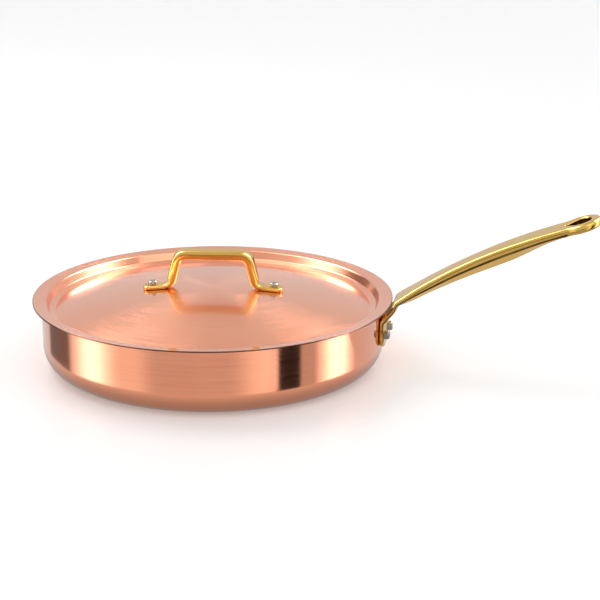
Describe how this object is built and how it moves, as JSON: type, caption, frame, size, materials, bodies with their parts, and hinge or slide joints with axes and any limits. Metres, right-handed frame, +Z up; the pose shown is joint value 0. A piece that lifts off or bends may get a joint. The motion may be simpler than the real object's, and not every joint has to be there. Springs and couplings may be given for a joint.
{
  "type": "saute pan with lid",
  "caption": "Straight-walled copper saute pan with a steel lining, a long cast brass handle with a hanging eye, and a drop-in domed lid with a riveted brass bridge handle.",
  "frame": {"origin": "centre of the pan's flat base, on the surface it stands on", "axes": "+Z up through the lid's dome, +X along the long handle away from the pan, +Y to the handle's left"},
  "size_m": [0.4649, 0.2984, 0.1376],
  "materials": {
    "copper": "copper, finely brushed round the pan and softly polished",
    "lining_steel": "brushed stainless steel",
    "cast_brass": "cast brass, ground and satin polished",
    "rivet_steel": "plain stainless steel rivets, lightly polished"
  },
  "bodies": {
    "pan": {"pan_shell": "copper", "pan_lining": "lining_steel", "handle": "cast_brass", "handle_rivet_front": "rivet_steel", "handle_rivet_back": "rivet_steel"},
    "lid": {"lid_shell": "copper", "lid_lining": "lining_steel", "lid_handle": "cast_brass", "lid_rivet_left": "rivet_steel", "lid_rivet_right": "rivet_steel"}
  },
  "joints": [
    {"name": "lid_lift", "type": "slide", "parent": "pan", "child": "lid", "axis": [0, 0, 1], "range_m": [0, 0.12]}
  ]
}
